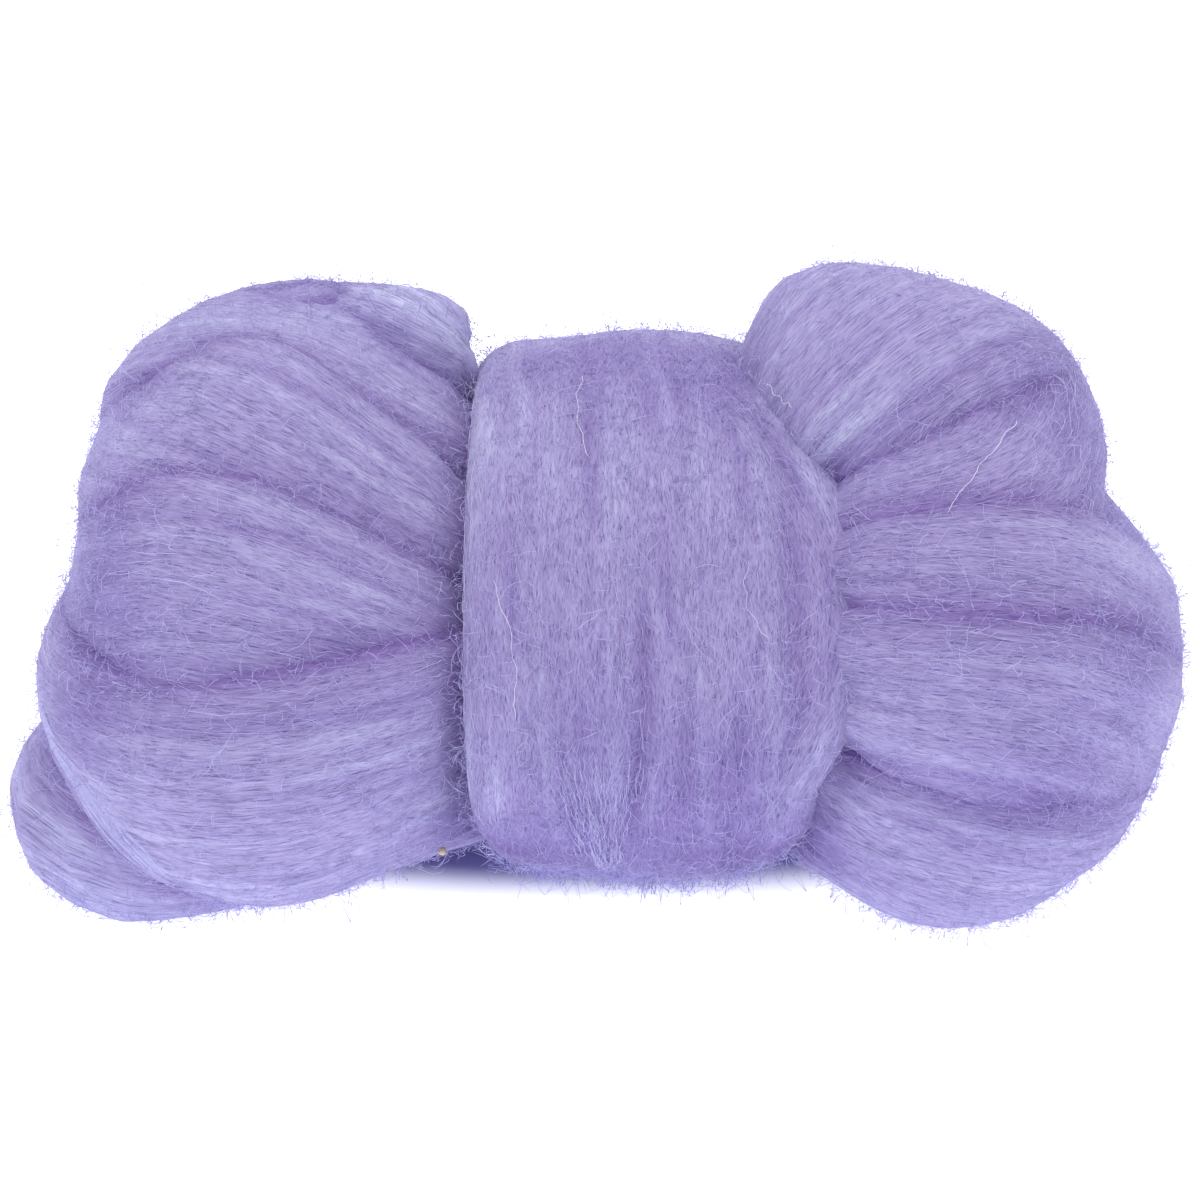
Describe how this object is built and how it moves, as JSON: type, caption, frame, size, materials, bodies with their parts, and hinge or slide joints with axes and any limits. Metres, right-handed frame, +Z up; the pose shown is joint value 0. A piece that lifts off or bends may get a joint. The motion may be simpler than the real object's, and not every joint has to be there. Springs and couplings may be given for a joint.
{
  "type": "wool combed top",
  "caption": "Bundle of soft combed wool sliver, folded to and fro into two fans and wound round its waist with the same sliver, lying on its side.",
  "frame": {"origin": "centre of the outline in plan, on the surface that the bundle rests on", "axes": "X along the bundle, through both fans; Y from the front to the back; Z up"},
  "size_m": [0.2789, 0.1632, 0.1413],
  "materials": {
    "wool": "matt lavender combed wool, fine parallel fibres with a soft fuzz"
  },
  "bodies": {
    "root": {"combed_top": "wool"}
  },
  "joints": []
}
